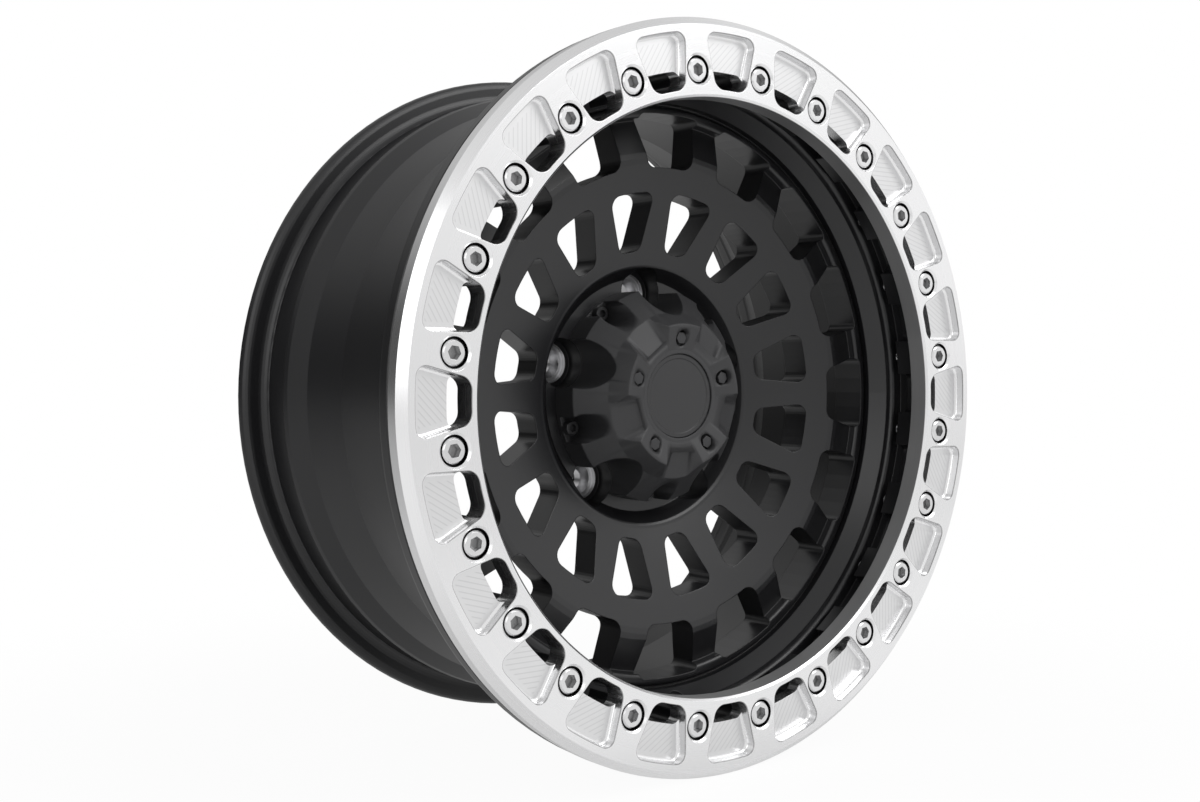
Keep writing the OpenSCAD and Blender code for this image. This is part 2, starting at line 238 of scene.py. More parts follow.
def spun_section(name, inner, outer, front, back, corners, steps, angle):
    """A rectangle in the plane of the axle with cut corners, spun round the axle from +X"""
    bpy.ops.mesh.primitive_plane_add(size=1)
    piece = bpy.context.object
    piece.name = name
    bpy.ops.object.mode_set(mode="EDIT")
    bpy.ops.transform.resize(value=(outer - inner, back - front, 1))
    bpy.ops.transform.translate(value=((outer + inner) / 2, (front + back) / 2, 0))
    bpy.ops.object.mode_set(mode="OBJECT")
    for radius, depth, width in corners:
        pick(piece, "VERT", lambda p: abs(p[0].x - radius) < 1e-5 and abs(p[0].y - depth) < 1e-5)
        bpy.ops.mesh.bevel(affect="VERTICES", offset=width, segments=1)
        bpy.ops.object.mode_set(mode="OBJECT")
    bpy.ops.object.mode_set(mode="EDIT")
    bpy.ops.mesh.select_all(action="SELECT")
    if angle > 6:
        bpy.ops.mesh.delete(type="ONLY_FACE")
        bpy.ops.mesh.select_all(action="SELECT")
    bpy.ops.mesh.spin(steps=steps, angle=angle, center=(0, 0, 0), axis=(0, 1, 0))
    bpy.ops.mesh.select_all(action="SELECT")
    bpy.ops.mesh.remove_doubles(threshold=1e-6)
    bpy.ops.mesh.normals_make_consistent(inside=False)
    bpy.ops.object.mode_set(mode="OBJECT")
    return piece


def round_edges(piece, test, radius, segments):
    """Rounds the edges that pass a test"""
    activate(piece)
    pick(piece, "EDGE", test)
    bpy.ops.mesh.bevel(offset=radius, segments=segments, affect="EDGES", profile=0.5)
    bpy.ops.object.mode_set(mode="OBJECT")


def round_corners(piece, radius, width):
    """Rounds the two corners of a flat outline at one of its ends"""
    pick(piece, "VERT", lambda p: abs(p[0].x - radius) < 1e-5)
    bpy.ops.mesh.bevel(offset=width, segments=8, affect="VERTICES", profile=0.5)
    bpy.ops.object.mode_set(mode="OBJECT")


def sector_cutter(name, inner, outer, front, back, corner_inner, corner_outer):
    """Solid of one pocket or window at angle 0, between two radii and two slanted sides"""
    sz = sizes()
    deselect()
    bpy.ops.mesh.primitive_plane_add(size=1, rotation=(math.pi / 2, 0, 0))
    piece = bpy.context.object
    piece.name = name
    bpy.ops.object.transform_apply(location=False, rotation=True, scale=True)
    bpy.ops.object.mode_set(mode="EDIT")
    bpy.ops.transform.resize(value=(outer - inner, 1, 2 * sz.pocket_half))
    bpy.ops.transform.translate(value=((outer + inner) / 2, front, 0))
    bpy.ops.object.mode_set(mode="OBJECT")
    widened = 1 + (outer - inner) * sz.pocket_side / sz.pocket_half
    pick(piece, "VERT", lambda p: abs(p[0].x - outer) < 1e-5)
    bpy.ops.transform.resize(value=(1, 1, widened), center_override=(outer, front, 0))
    bpy.ops.object.mode_set(mode="OBJECT")
    round_corners(piece, inner, corner_inner)
    round_corners(piece, outer, corner_outer)
    for end in (inner, outer):
        pick(piece, "EDGE", lambda p: all(abs(q.x - end) < 1e-5 for q in p))
        bpy.ops.mesh.subdivide(number_cuts=7)
        bpy.ops.object.mode_set(mode="OBJECT")
    bend_round_axle(piece)
    bpy.ops.object.mode_set(mode="EDIT")
    bpy.ops.mesh.select_mode(type="FACE")
    bpy.ops.mesh.select_all(action="SELECT")
    bpy.ops.mesh.extrude_region_move(TRANSFORM_OT_translate={"value": (0, back - front, 0)})
    bpy.ops.mesh.select_all(action="SELECT")
    bpy.ops.mesh.normals_make_consistent(inside=False)
    bpy.ops.object.mode_set(mode="OBJECT")
    return piece


def bend_round_axle(piece):
    """Bends a flat outline so that its straight ends follow circles round the axle"""
    for vertex in piece.data.vertices:
        vertex.co.x = math.sqrt(vertex.co.x ** 2 - vertex.co.z ** 2)


def turn_round_axle(piece, angle):
    """Turns a mesh round the axle, against the clock as seen from the street"""
    piece.data.transform(Matrix.Rotation(-angle, 4, "Y"))


def copies_round_axle(piece, count, first):
    """The piece and its copies round the axle, joined into one object"""
    step = 2 * math.pi / count
    turn_round_axle(piece, first)
    made = [piece]
    for k in range(1, count):
        activate(piece)
        bpy.ops.object.duplicate()
        copy = bpy.context.object
        turn_round_axle(copy, k * step)
        made.append(copy)
    deselect()
    for one in made:
        one.select_set(True)
    bpy.context.view_layer.objects.active = piece
    bpy.ops.object.join()
    return piece


def cut_away(piece, cutter):
    """Takes the cutter's solids out of the piece and deletes the cutter"""
    activate(piece)
    modifier = piece.modifiers.new("cut", "BOOLEAN")
    modifier.operation = "DIFFERENCE"
    modifier.solver = "EXACT"
    modifier.object = cutter
    bpy.ops.object.modifier_apply(modifier=modifier.name)
    bpy.data.objects.remove(cutter)


def bolt_cutter(name):
    """Solid of one bolt hole with its chamfered counterbore, at angle 0"""
    sz = sizes()
    past = 2 * MM
    face, seat = FACE_Y, FACE_Y + sz.bolt_seat
    steps = ((SEAT_Y + past, sz.bolt_hole), (seat, sz.bolt_hole), (seat, sz.counterbore),
             (face + sz.counterbore_chamfer, sz.counterbore),
             (face - past, sz.counterbore + sz.counterbore_chamfer + past))
    bpy.ops.mesh.primitive_circle_add(vertices=48, radius=steps[0][1], fill_type="NGON",
                                      location=(sz.bolt_circle, steps[0][0], 0),
                                      rotation=(math.pi / 2, 0, 0))
    piece = bpy.context.object
    piece.name = name
    bpy.ops.object.transform_apply(location=False, rotation=True, scale=True)
    bpy.ops.object.mode_set(mode="EDIT")
    bpy.ops.mesh.select_all(action="SELECT")
    for (depth, radius), (next_depth, next_radius) in zip(steps, steps[1:]):
        bpy.ops.mesh.extrude_region_move(TRANSFORM_OT_translate={"value": (0, next_depth - depth, 0)})
        scale = next_radius / radius
        bpy.ops.transform.resize(value=(scale, 1, scale), center_override=(sz.bolt_circle, next_depth, 0))
    bpy.ops.mesh.select_all(action="SELECT")
    bpy.ops.mesh.normals_make_consistent(inside=False)
    bpy.ops.object.mode_set(mode="OBJECT")
    piece.data.transform(piece.matrix_world)
    piece.matrix_world.identity()
    return piece


# Shader helpers


def group(name, inputs, outputs):
    """A new shader node group; inputs and outputs are (name, socket type, default)"""
    tree = bpy.data.node_groups.new(name, "ShaderNodeTree")
    for label, kind, value in inputs:
        socket = tree.interface.new_socket(name=label, in_out="INPUT", socket_type=kind)
        if value is not None:
            socket.default_value = value
    for label, kind, _ in outputs:
        tree.interface.new_socket(name=label, in_out="OUTPUT", socket_type=kind)
    start = tree.nodes.new("NodeGroupInput")
    end = tree.nodes.new("NodeGroupOutput")
    return tree, start, end


def math_node(tree, operation, *values, clamp=False):
    """A Math node; a value is a number or an output socket"""
    node = tree.nodes.new("ShaderNodeMath")
    node.operation = operation
    node.use_clamp = clamp
    for socket, value in zip(node.inputs, values):
        if isinstance(value, (int, float)):
            socket.default_value = value
        else:
            tree.links.new(value, socket)
    return node.outputs[0]


def ramp_node(tree, value, low, high, to_low=0.0, to_high=1.0):
    """A value mapped smoothly from one range to another"""
    node = tree.nodes.new("ShaderNodeMapRange")
    node.interpolation_type = "SMOOTHSTEP"
    tree.links.new(value, node.inputs["Value"])
    node.inputs["From Min"].default_value = low
    node.inputs["From Max"].default_value = high
    node.inputs["To Min"].default_value = to_low
    node.inputs["To Max"].default_value = to_high
    return node.outputs["Result"]


def noise_node(tree, vector, scale, detail=2.0):
    """Noise of a given scale, read at a place"""
    node = tree.nodes.new("ShaderNodeTexNoise")
    node.inputs["Scale"].default_value = scale
    node.inputs["Detail"].default_value = detail
    tree.links.new(vector, node.inputs["Vector"])
    return node.outputs["Fac"]


def place_group():
    """Radius from the axle, and the place in one of a number of equal sectors"""
    tree, start, end = group(
        "Wheel Place",
        (("Count", "NodeSocketFloat", 24.0), ("First", "NodeSocketFloat", 0.0)),
        (("Radius", "NodeSocketFloat", None), ("Along", "NodeSocketFloat", None),
         ("Across", "NodeSocketFloat", None), ("Depth", "NodeSocketFloat", None)))
    coords = tree.nodes.new("ShaderNodeTexCoord")
    split = tree.nodes.new("ShaderNodeSeparateXYZ")
    tree.links.new(coords.outputs["Object"], split.inputs[0])
    x, y, z = split.outputs
    xx = math_node(tree, "MULTIPLY", x, x)
    radius = math_node(tree, "SQRT", math_node(tree, "MULTIPLY_ADD", z, z, xx))
    angle = math_node(tree, "SUBTRACT", math_node(tree, "ARCTAN2", z, x), start.outputs["First"])
    sector = math_node(tree, "DIVIDE", 2 * math.pi, start.outputs["Count"])
    half = math_node(tree, "MULTIPLY", sector, 0.5)
    low = math_node(tree, "MULTIPLY", half, -1.0)
    folded = math_node(tree, "WRAP", angle, half, low)
    along = math_node(tree, "MULTIPLY", radius, math_node(tree, "COSINE", folded))
    across = math_node(tree, "MULTIPLY", radius, math_node(tree, "SINE", folded))
    for value, label in ((radius, "Radius"), (along, "Along"), (across, "Across"), (y, "Depth")):
        tree.links.new(value, end.inputs[label])
    return tree


def grain_group():
    """Fine grain of a coat or a moulding: a bumped normal and an uneven roughness"""
    tree, start, end = group(
        "Fine Grain",
        (("Scale", "NodeSocketFloat", 1200.0), ("Height", "NodeSocketFloat", 0.1),
         ("Roughness", "NodeSocketFloat", 0.4), ("Spread", "NodeSocketFloat", 0.05),
         ("Normal", "NodeSocketVector", None)),
        (("Roughness", "NodeSocketFloat", None), ("Normal", "NodeSocketVector", None)))
    coords = tree.nodes.new("ShaderNodeTexCoord")
    fine = tree.nodes.new("ShaderNodeTexNoise")
    tree.links.new(coords.outputs["Object"], fine.inputs["Vector"])
    tree.links.new(start.outputs["Scale"], fine.inputs["Scale"])
    broad = noise_node(tree, coords.outputs["Object"], 18.0, 3.0)
    swing = math_node(tree, "MULTIPLY", math_node(tree, "SUBTRACT", broad, 0.5), start.outputs["Spread"])
    tree.links.new(math_node(tree, "ADD", start.outputs["Roughness"], swing), end.inputs["Roughness"])
    bump = tree.nodes.new("ShaderNodeBump")
    bump.inputs["Distance"].default_value = 0.00005
    tree.links.new(start.outputs["Height"], bump.inputs["Strength"])
    tree.links.new(fine.outputs["Fac"], bump.inputs["Height"])
    tree.links.new(start.outputs["Normal"], bump.inputs["Normal"])
    tree.links.new(bump.outputs["Normal"], end.inputs["Normal"])
    return tree


def turned_group():
    """Fine rings left by a lathe tool round the axle, as a height and a shade"""
    tree, start, end = group(
        "Turned Lines",
        (("Radius", "NodeSocketFloat", 0.0), ("Pitch", "NodeSocketFloat", 0.0004)),
        (("Height", "NodeSocketFloat", None), ("Shade", "NodeSocketFloat", None)))
    lines = math_node(tree, "DIVIDE", start.outputs["Radius"], start.outputs["Pitch"])
    place = tree.nodes.new("ShaderNodeCombineXYZ")
    tree.links.new(lines, place.inputs["X"])
    height = noise_node(tree, place.outputs[0], 1.0, 3.0)
    broad = tree.nodes.new("ShaderNodeCombineXYZ")
    tree.links.new(math_node(tree, "MULTIPLY", lines, 0.12), broad.inputs["X"])
    shade = noise_node(tree, broad.outputs[0], 1.0, 2.0)
    tree.links.new(height, end.inputs["Height"])
    tree.links.new(shade, end.inputs["Shade"])
    return tree


class Finish:
    """One material with its Principled shader and the soft edges that it starts from"""

    def __init__(self, name, colour, roughness, metallic, edge):
        self.material = bpy.data.materials.new(name)
        self.material.use_nodes = True
        self.tree = self.material.node_tree
        self.shader = self.tree.nodes["Principled BSDF"]
        self.shader.inputs["Base Color"].default_value = (*colour, 1)
        self.shader.inputs["Roughness"].default_value = roughness
        self.shader.inputs["Metallic"].default_value = metallic
        bevel = self.tree.nodes.new("ShaderNodeBevel")
        bevel.samples = 6
        bevel.inputs["Radius"].default_value = edge
        self.normal = bevel.outputs["Normal"]

    def grain(self, scale, height, roughness, spread):
        """Adds the fine grain between the soft edges and the shader"""
        node = self.tree.nodes.new("ShaderNodeGroup")
        node.node_tree = bpy.data.node_groups["Fine Grain"]
        values = (("Scale", scale), ("Height", height), ("Roughness", roughness), ("Spread", spread))
        for label, value in values:
            node.inputs[label].default_value = value
        self.tree.links.new(self.normal, node.inputs["Normal"])
        self.tree.links.new(node.outputs["Roughness"], self.shader.inputs["Roughness"])
        self.tree.links.new(node.outputs["Normal"], self.shader.inputs["Normal"])
        self.normal = node.outputs["Normal"]
        self.roughness = node.outputs["Roughness"]
        return self

    def place(self, count, first=0.0):
        """Adds the place in one of a number of equal sectors round the axle"""
        node = self.tree.nodes.new("ShaderNodeGroup")
        node.node_tree = bpy.data.node_groups["Wheel Place"]
        node.inputs["Count"].default_value = count
        node.inputs["First"].default_value = first
        return node.outputs

    def mix_colour(self, mask, low, high):
        """A colour that runs from low to high with a mask"""
        node = self.tree.nodes.new("ShaderNodeMix")
        node.data_type = "RGBA"
        node.inputs[6].default_value = (*low, 1)
        node.inputs[7].default_value = (*high, 1)
        self.tree.links.new(mask, node.inputs[0])
        return node.outputs[2]

    def feed(self, socket, value):
        self.tree.links.new(value, self.shader.inputs[socket])


def off_axis(tree, spot, circle):
    """Distance from the axis of the sector's bolt, which stands on a circle of that radius"""
    along = math_node(tree, "SUBTRACT", spot["Along"], circle)
    square = math_node(tree, "MULTIPLY", along, along)
    return math_node(tree, "SQRT", math_node(tree, "MULTIPLY_ADD", spot["Across"], spot["Across"], square))


def product(tree, *values):
    """The product of several masks"""
    result = values[0]
    for value in values[1:]:
        result = math_node(tree, "MULTIPLY", result, value)
    return result


# Finishes


def casting_finish():
    """Satin black powder coat, with the lug seats left bare"""
    sz, col = sizes(), colours()
    finish = Finish("satin_black_coat", col.casting, 0.4, 0.0, sz.casting_edge)
    finish.grain(1500.0, 0.2, 0.33, 0.08)
    tree = finish.tree
    spot = finish.place(5, math.pi / 2)
    near = math_node(tree, "LESS_THAN", off_axis(tree, spot, sz.lug_circle), sz.lug_seat)
    deep = math_node(tree, "GREATER_THAN", spot["Depth"], -0.0187)
    inside = math_node(tree, "LESS_THAN", spot["Depth"], -0.002)
    bare = product(tree, near, deep, inside)
    finish.feed("Base Color", finish.mix_colour(bare, col.casting, col.seat))
    finish.feed("Metallic", bare)
    rough = math_node(tree, "MULTIPLY_ADD", bare, -0.04, finish.roughness)
    finish.feed("Roughness", rough)
    return finish.material


def ring_finish():
    """Bare aluminium: turned faces, milled pocket floors with slanted cutter marks"""
    sz, col = sizes(), colours()
    finish = Finish("bare_machined_aluminium", col.ring, 0.3, 1.0, 0.25 * MM)
    tree = finish.tree
    spot = finish.place(sz.bolt_count)
    floor_y = FACE_Y + sz.pocket_depth
    off_floor = math_node(tree, "ABSOLUTE", math_node(tree, "SUBTRACT", spot["Depth"], floor_y))
    on_floor = math_node(tree, "LESS_THAN", off_floor, 0.05 * MM)
    # cutter marks fill the middle of each floor, inside a border that follows its outline
    border = 5.5 * MM
    soft = 0.5 * MM
    half = math_node(tree, "MULTIPLY_ADD", spot["Along"], sz.pocket_side,
                     sz.pocket_half - sz.pocket_inner * sz.pocket_side - border)
    from_side = math_node(tree, "SUBTRACT", half, math_node(tree, "ABSOLUTE", spot["Across"]))
    in_sides = ramp_node(tree, from_side, -soft, soft)
    below_top = ramp_node(tree, spot["Along"], sz.pocket_outer - border + soft,
                          sz.pocket_outer - border - soft)
    middle = product(tree, on_floor, in_sides, below_top)
    slant = math_node(tree, "ADD", spot["Along"], spot["Across"])
    wave = math_node(tree, "SINE", math_node(tree, "MULTIPLY", slant, 2 * math.pi / (4.6 * MM)))
    ridge = ramp_node(tree, wave, 0.55, 1.0)
    marks = math_node(tree, "MULTIPLY", middle, ridge)
    fine_wave = math_node(tree, "SINE", math_node(tree, "MULTIPLY", slant, 2 * math.pi / (0.8 * MM)))
    fine = product(tree, on_floor, fine_wave)
    turned = tree.nodes.new("ShaderNodeGroup")
    turned.node_tree = bpy.data.node_groups["Turned Lines"]
    tree.links.new(spot["Radius"], turned.inputs["Radius"])
    turned.inputs["Pitch"].default_value = 0.8 * MM
    off_floor_mask = math_node(tree, "SUBTRACT", 1.0, on_floor)
    turned_height = product(tree, off_floor_mask, turned.outputs["Height"])
    height = math_node(tree, "MULTIPLY", turned_height, 0.4)
    height = math_node(tree, "MULTIPLY_ADD", marks, 0.8, height)
    height = math_node(tree, "MULTIPLY_ADD", fine, 0.12, height)
    bump = tree.nodes.new("ShaderNodeBump")
    bump.inputs["Strength"].default_value = 0.35
    bump.inputs["Distance"].default_value = 0.02 * MM
    tree.links.new(height, bump.inputs["Height"])
    tree.links.new(finish.normal, bump.inputs["Normal"])
    finish.feed("Normal", bump.outputs["Normal"])
    shade = math_node(tree, "MULTIPLY", turned.outputs["Shade"], 0.03)
    shade = math_node(tree, "MULTIPLY_ADD", marks, 0.13, shade)
    shade = math_node(tree, "MULTIPLY_ADD", on_floor, 0.1, shade)
    # the narrow gap round each bolt head gathers no light
    bolts = finish.place(sz.bolt_count, math.pi / sz.bolt_count)
    from_bolt = off_axis(tree, bolts, sz.bolt_circle)
    in_gap = math_node(tree, "LESS_THAN", from_bolt, sz.counterbore + 0.1 * MM)
    gap = product(tree, in_gap, ramp_node(tree, spot["Depth"], FACE_Y + 2.0 * MM, FACE_Y + 4.0 * MM))
    shade = math_node(tree, "MULTIPLY_ADD", gap, 2.0, shade, clamp=True)
    # painted shade: the broken edge round each pocket is darkened into a thin dark line
    rim_painted_shade = product(tree, math_node(tree, "GREATER_THAN", spot["Depth"], FACE_Y + 0.06 * MM),
                  math_node(tree, "LESS_THAN", spot["Depth"], FACE_Y + sz.edge_break + 0.05 * MM),
                  math_node(tree, "GREATER_THAN", spot["Radius"], sz.pocket_inner - 1 * MM),
                  math_node(tree, "LESS_THAN", spot["Radius"], sz.pocket_outer + 1 * MM),
                  math_node(tree, "GREATER_THAN", from_bolt,
                            sz.counterbore + sz.counterbore_chamfer + 0.3 * MM))
    shade = math_node(tree, "MULTIPLY_ADD", rim_painted_shade, 0.5, shade, clamp=True)
    in_bore = math_node(tree, "LESS_THAN", spot["Radius"], sz.ring_bore + 0.2 * MM)
    # painted shade: the ring's colour is darkened in the bore
    shade = math_node(tree, "MULTIPLY_ADD", in_bore, 0.4, shade, clamp=True)
    # the ring's colour is darkened by this mix: part tone of the machining, part painted shade
    finish.feed("Base Color", finish.mix_colour(shade, col.ring, tuple(c * 0.08 for c in col.ring)))
    rough = math_node(tree, "MULTIPLY_ADD", turned.outputs["Shade"], 0.1, 0.22)
    rough = math_node(tree, "MULTIPLY_ADD", on_floor, 0.06, rough)
    rough = math_node(tree, "MULTIPLY_ADD", in_bore, 0.3, rough)
    finish.feed("Roughness", rough)
    return finish.material


def bolt_finish():
    """Stainless steel with a fine grain, with painted shade in the sockets and round the heads"""
    sz, col = sizes(), colours()
    finish = Finish("stainless_steel", col.bolt, 0.3, 1.0, 0.2 * MM)
    finish.grain(900.0, 0.3, 0.27, 0.1)
    tree = finish.tree
    head_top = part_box("ring_bolt_01")[0][1]
    spot = finish.place(sz.bolt_count, math.pi / sz.bolt_count)
    distance = off_axis(tree, spot, sz.bolt_circle)
    # painted shade: the colour is darkened deep in the hex socket and on the head's side down in the
    # counterbore
    socket = product(tree, math_node(tree, "LESS_THAN", distance, 5 * MM),
                     ramp_node(tree, spot["Depth"], head_top + 3 * MM, head_top + 5.5 * MM),
                     math_node(tree, "LESS_THAN", spot["Depth"], head_top + 9 * MM))
    side = product(tree, math_node(tree, "GREATER_THAN", distance, 7.9 * MM),
                   ramp_node(tree, spot["Depth"], head_top + 1.2 * MM, head_top + 2.6 * MM),
                   math_node(tree, "LESS_THAN", spot["Depth"], FACE_Y + sz.bolt_seat + 0.1 * MM))
    painted_shade = math_node(tree, "MAXIMUM", math_node(tree, "MULTIPLY", socket, 0.75), side)
    finish.feed("Base Color", finish.mix_colour(painted_shade, col.bolt, tuple(c * 0.06 for c in col.bolt)))
    return finish.material


def cap_finish():
    """Matte moulded cap with softly rounded edges"""
    finish = Finish("matte_moulding", colours().cap, 0.5, 0.0, 1.6 * MM)
    return finish.grain(2200.0, 0.5, 0.5, 0.06).material


def badge_finish():
    """Satin disc in the middle of the cap"""
    finish = Finish("satin_disc", tuple(0.8 * c for c in colours().cap), 0.38, 0.0, 0.4 * MM)
    return finish.grain(3000.0, 0.15, 0.36, 0.05).material


def screw_finish():
    """Blackened steel of the cap's small screws"""
    finish = Finish("blackened_steel", colours().screw, 0.4, 0.6, 0.15 * MM)
    return finish.grain(1800.0, 0.2, 0.4, 0.08).material


def make_groups():
    """Builds the shared node groups once"""
    for name, build in (("Wheel Place", place_group), ("Fine Grain", grain_group),
                        ("Turned Lines", turned_group)):
        if name not in bpy.data.node_groups:
            build()


def dress(piece, material):
    """Gives a piece one material in all its slots"""
    piece.data.materials.clear()
    piece.data.materials.append(material)


# Operators


class WHEEL_OT_casting(bpy.types.Operator):
    """Gives the casting its powder coat and bare lug seats"""

    bl_idname = "wheel.casting"
    bl_label = "Finish the casting"

    def execute(self, context):
        dress(NODES["wheel_casting"], casting_finish())
        return {"FINISHED"}


class WHEEL_OT_ring(bpy.types.Operator):
    """Models the machined ring with its filleted pockets"""

    bl_idname = "wheel.ring"
    bl_label = "Make the beadlock ring"

    def execute(self, context):
        sz = sizes()
        deselect()
        outer = RING_HIGH[0]
        corners = ((outer, FACE_Y, sz.ring_bevel), (outer, SEAT_Y, 2 * MM),
                   (sz.ring_bore, FACE_Y, sz.bore_bevel), (sz.ring_bore, SEAT_Y, 1 * MM))
        ring = spun_section("machined_ring", sz.ring_bore, outer, FACE_Y, SEAT_Y, corners,
                            sz.bolt_count * 15, 2 * math.pi)
        past = 2 * MM
        floor = FACE_Y + sz.pocket_depth
        pocket = sector_cutter("pocket", sz.pocket_inner, sz.pocket_outer, FACE_Y - past, floor,
                               7 * MM, 8 * MM)
        round_edges(pocket, lambda p: all(abs(q.y - floor) < 1e-6 for q in p), sz.pocket_fillet, 5)
        cut_away(ring, copies_round_axle(pocket, sz.bolt_count, 0))
        window = sector_cutter("window", sz.pocket_inner, sz.window_outer, FACE_Y - past,
                               SEAT_Y + past, 7 * MM, 6 * MM)
        cut_away(ring, copies_round_axle(window, sz.bolt_count, 0))
        hole = bolt_cutter("bolt_hole")
        cut_away(ring, copies_round_axle(hole, sz.bolt_count, math.pi / sz.bolt_count))
        soft_face_edges(ring)
        flat_faces_stay_flat(ring)
        dress(ring, ring_finish())
        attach(ring, BODY)
        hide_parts("beadlock_ring")
        return {"FINISHED"}


def soft_face_edges(ring):
    """Breaks the edges where the pockets meet the ring's face"""
    sz = sizes()
    low = sz.pocket_inner - 1 * MM
    high = sz.pocket_outer + 1 * MM
    keep = sz.counterbore + sz.counterbore_chamfer + 0.5 * MM

    def on_pocket_rim(points):
        if any(abs(q.y - FACE_Y) > 1e-6 for q in points):
            return False
        for q in points:
            radius = math.hypot(q.x, q.z)
            sector = 2 * math.pi / sz.bolt_count
            turn = (math.atan2(q.z, q.x) + 4 * math.pi) % sector - sector / 2
            near_bolt = math.hypot(radius * math.cos(turn) - sz.bolt_circle, radius * math.sin(turn)) < keep
            if radius < low or radius > high or near_bolt:
                return False
        return True

    activate(ring)
    bpy.ops.object.mode_set(mode="EDIT")
    bpy.ops.mesh.select_all(action="SELECT")
    bpy.ops.mesh.remove_doubles(threshold=2e-6)
    bpy.ops.mesh.dissolve_limited(angle_limit=math.radians(0.2))
    # the cuts can leave a thin face open, which is closed before the edges are bevelled
    bpy.ops.mesh.select_mode(type="EDGE")
    bpy.ops.mesh.select_all(action="DESELECT")
    bpy.ops.mesh.select_non_manifold()
    bpy.ops.mesh.fill_holes(sides=12)
    bpy.ops.mesh.select_all(action="SELECT")
    bpy.ops.mesh.normals_make_consistent(inside=False)
    bpy.ops.object.mode_set(mode="OBJECT")
    pick(ring, "EDGE", on_pocket_rim)
    bpy.ops.mesh.bevel(offset=sz.edge_break, segments=2, affect="EDGES", profile=0.5)
    bpy.ops.object.mode_set(mode="OBJECT")


def flat_faces_stay_flat(piece, degrees=35):
    """Shades curves smooth and keeps the normals of the large flat faces"""
    activate(piece)
    bpy.ops.object.shade_smooth_by_angle(angle=math.radians(degrees))
    bpy.ops.object.modifier_add(type="WEIGHTED_NORMAL")
    modifier = piece.modifiers[-1]
    modifier.weight = 100
    modifier.keep_sharp = True
    bpy.ops.object.modifier_apply(modifier=modifier.name)


class WHEEL_OT_fasteners(bpy.types.Operator):
    """Gives the ring bolts and the cap's screws their steel"""

    bl_idname = "wheel.fasteners"
    bl_label = "Finish the bolts and screws"

    def execute(self, context):
        steel, black = bolt_finish(), screw_finish()
        for name, node in NODES.items():
            if name.startswith("ring_bolt"):
                dress(node, steel)
            elif name.startswith("cap_screw"):
                dress(node, black)
        return {"FINISHED"}


def skin_cutter():
    """Ring-shaped solid that turns the cap's skirt, cone and face to one even skin"""
    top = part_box("centre_cap")[0][1]
    trim = 0.1 * MM
    past = 2 * MM
    # radius and depth below the face, from the foot of the skirt to the dish round the badge
    outline = [(radius * MM - trim, top + depth * MM + trim) for radius, depth in
               ((76.6, 51.0), (76.6, 29.7), (59.2, 12.1), (50.9, 0.0), (48.9, 0.0), (33.0, 5.2))]
    inner, outer = outline[-1][0], outline[0][0] + past
    outline += [(inner, top - past), (outer, top - past), (outer, outline[0][1])]
    deselect()
    bpy.ops.mesh.primitive_circle_add(vertices=len(outline), fill_type="NOTHING")
    piece = bpy.context.object
    piece.name = "skin"
    for vertex, (radius, depth) in zip(piece.data.vertices, outline):
        vertex.co = (radius, depth, 0)
    bpy.ops.object.mode_set(mode="EDIT")
    bpy.ops.mesh.select_all(action="SELECT")
    bpy.ops.mesh.spin(steps=240, angle=2 * math.pi, center=(0, 0, 0), axis=(0, 1, 0))
    bpy.ops.mesh.select_all(action="SELECT")
    bpy.ops.mesh.remove_doubles(threshold=1e-6)
    bpy.ops.mesh.normals_make_consistent(inside=False)
    bpy.ops.object.mode_set(mode="OBJECT")
    return piece


def notch_cutter():
    """Solid of one flared notch over the edge of the cap's face, at angle 0"""
    sz = sizes()
    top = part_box("centre_cap")[0][1]
    deselect()
    bpy.ops.mesh.primitive_cube_add(size=1)
    piece = bpy.context.object
    piece.name = "notch"
    flare = 2.4 * MM
    slope = 0.75
    floor_inner, floor_outer = top + 4.7 * MM, top + 12.2 * MM
    for vertex in piece.data.vertices:
        outer, front, side = vertex.co.x > 0, vertex.co.y < 0, math.copysign(1, vertex.co.z)
        depth = top - 8 * MM if front else (floor_outer if outer else floor_inner)
        half = sz.notch_half + (flare if outer else 0)
        if front:
            half += slope * ((floor_outer if outer else floor_inner) - depth)
        vertex.co = (sz.notch_outer if outer else sz.notch_inner, depth, side * half)
    # the corners of the floor are round, and so is the foot of the inner wall
    round_edges(piece, lambda p: all(q.y > top for q in p) and abs(p[0].z - p[1].z) < 4 * MM, 3.2 * MM, 5)
    return piece


def recess_cutter():
    """Solid of the recess round one bolt of the cap's face, at angle 0"""
    sz = sizes()
    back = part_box("cap_face_bolt_1")[0][1] + 5 * MM
    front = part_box("centre_cap")[0][1] - 2 * MM
    deselect()
    bpy.ops.mesh.primitive_cylinder_add(vertices=48, radius=sz.face_recess, depth=back - front,
                                        location=(sz.face_bolt_circle, (back + front) / 2, 0),
                                        rotation=(math.pi / 2, 0, 0))
    piece = bpy.context.object
    bpy.ops.object.transform_apply(location=True, rotation=True, scale=True)
    return piece


